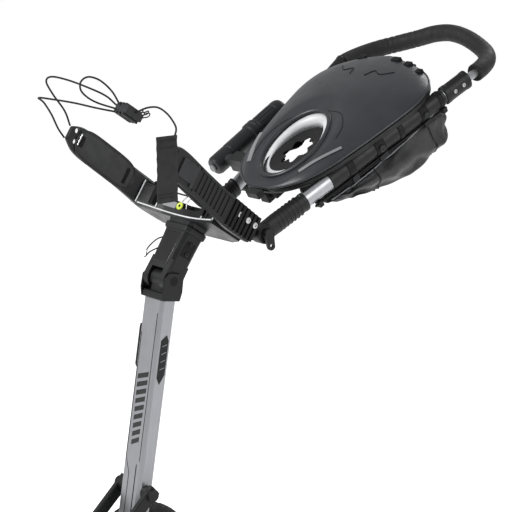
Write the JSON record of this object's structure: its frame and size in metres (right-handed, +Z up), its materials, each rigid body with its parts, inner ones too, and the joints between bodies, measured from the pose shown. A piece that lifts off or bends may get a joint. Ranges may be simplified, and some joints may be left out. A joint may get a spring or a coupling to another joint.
{
  "type": "electric golf trolley",
  "caption": "Folding three-wheel motorised golf trolley with a leaning aluminium main tube, cupped bag bracket, looped handle, domed console and battery.",
  "frame": {"origin": "on the ground, under the centre of the bounding box", "axes": "+Z up, front of the trolley (front wheel and bag side) towards -Y, its left side towards +X"},
  "size_m": [0.582, 1.249, 1.2067],
  "materials": {
    "silver_aluminium": "satin anodised",
    "steel": "bright",
    "black_plastic": "fine moulded texture",
    "charcoal_plastic": "smooth satin",
    "rubber": "matte",
    "elastic_cord": "braided sheath",
    "tyre": "treaded",
    "grip_foam": "closed-cell foam",
    "bag_fabric": "woven nylon",
    "grey_plastic": "smooth",
    "circuit_board": "lacquered"
  },
  "bodies": {
    "chassis": {"main_tube": "silver_aluminium", "lower_fold_housing": "black_plastic", "fold_pin": "steel", "chassis_shell": "black_plastic", "chassis_cover": "charcoal_plastic", "controller_board": "circuit_board", "battery_tray": "black_plastic", "rear_axle_tube": "silver_aluminium", "left_drive_unit": "steel", "right_drive_unit": "steel", "arm_pivot_pin": "black_plastic"},
    "power_button": {"power_button": "grey_plastic"},
    "battery": {"battery_pack": "charcoal_plastic", "battery_handle": "black_plastic"},
    "left_wheel": {"left_tyre": "tyre", "left_rim": "charcoal_plastic", "left_drive_shaft": "steel"},
    "left_release": {"left_release_button": "grey_plastic"},
    "right_wheel": {"right_tyre": "tyre", "right_rim": "charcoal_plastic", "right_drive_shaft": "steel"},
    "right_release": {"right_release_button": "grey_plastic"},
    "front_arm": {"front_arm_left": "black_plastic", "front_arm_right": "black_plastic", "lower_bag_support": "black_plastic", "lower_pad_left": "rubber", "lower_pad_right": "rubber", "front_axle": "steel"},
    "front_wheel": {"front_tyre": "tyre", "front_rim": "charcoal_plastic"},
    "upper_frame": {"upper_fold_housing": "black_plastic", "bag_bracket": "black_plastic", "bracket_arm_left": "black_plastic", "bracket_arm_right": "black_plastic", "arm_pad_left": "rubber", "arm_pad_right": "rubber", "hanging_strap": "rubber", "strap_hook": "black_plastic", "cord_far": "elastic_cord", "cord_front": "elastic_cord", "cord_loop": "elastic_cord", "cord_near": "elastic_cord", "handle_pivot_rod": "steel"},
    "handle_lock": {"handle_lock_lever": "black_plastic"},
    "handle": {"tube_sleeve_left": "black_plastic", "tube_sleeve_right": "black_plastic", "side_tube_left": "silver_aluminium", "side_tube_right": "silver_aluminium", "handle_clamp_left": "black_plastic", "handle_clamp_right": "black_plastic", "handle_loop": "silver_aluminium", "handle_grip": "grip_foam", "console_base": "black_plastic", "cup_insert": "rubber", "accessory_bag": "bag_fabric", "umbrella_bracket": "black_plastic", "umbrella_stud": "steel"},
    "lid": {"console_lid": "charcoal_plastic"},
    "latch": {"lid_latch": "black_plastic"},
    "umbrella": {"umbrella_holder": "charcoal_plastic"}
  },
  "joints": [
    {"name": "main_fold", "type": "hinge", "parent": "chassis", "child": "upper_frame", "pos_m": [0, -0.11, 0.8], "axis": [1, 0, 0], "range_deg": [0, 85]},
    {"name": "handle_tilt", "type": "hinge", "parent": "upper_frame", "child": "handle", "pos_m": [0, 0.054, 0.873], "axis": [1, 0, 0], "range_deg": [-20, 35]},
    {"name": "handle_lock_swing", "type": "hinge", "parent": "upper_frame", "child": "handle_lock", "pos_m": [0, 0.054, 0.873], "axis": [1, 0, 0], "range_deg": [0, 60]},
    {"name": "lid_open", "type": "hinge", "parent": "handle", "child": "lid", "pos_m": [0, 0.4613, 1.14083], "axis": [-1, 0, 0], "range_deg": [0, 95]},
    {"name": "latch_press", "type": "slide", "parent": "handle", "child": "latch", "axis": [0, 0.859, 0.512], "range_m": [0, 0.003], "stiffness_N_per_m": 300},
    {"name": "umbrella_tilt", "type": "hinge", "parent": "handle", "child": "umbrella", "pos_m": [-0.17, 0.1953, 0.95723], "axis": [1, 0, 0], "range_deg": [-60, 30]},
    {"name": "battery_lift", "type": "slide", "parent": "chassis", "child": "battery", "axis": [0, 0, 1], "range_m": [0, 0.12]},
    {"name": "power_press", "type": "slide", "parent": "chassis", "child": "power_button", "axis": [0, 1, 0], "range_m": [0, 0.002], "stiffness_N_per_m": 400},
    {"name": "left_wheel_spin", "type": "hinge", "parent": "chassis", "child": "left_wheel", "pos_m": [0.268, 0.02, 0.135], "axis": [1, 0, 0], "continuous": true},
    {"name": "right_wheel_spin", "type": "hinge", "parent": "chassis", "child": "right_wheel", "pos_m": [-0.268, 0.02, 0.135], "axis": [1, 0, 0], "continuous": true},
    {"name": "left_release_press", "type": "slide", "parent": "left_wheel", "child": "left_release", "axis": [-1, 0, 0], "range_m": [0, 0.003], "stiffness_N_per_m": 400},
    {"name": "right_release_press", "type": "slide", "parent": "right_wheel", "child": "right_release", "axis": [1, 0, 0], "range_m": [0, 0.003], "stiffness_N_per_m": 400},
    {"name": "front_arm_fold", "type": "hinge", "parent": "chassis", "child": "front_arm", "pos_m": [0, -0.1745, 0.42], "axis": [-1, 0, 0], "range_deg": [0, 75]},
    {"name": "front_wheel_spin", "type": "hinge", "parent": "front_arm", "child": "front_wheel", "pos_m": [0, -0.5095, 0.115], "axis": [1, 0, 0], "continuous": true}
  ]
}
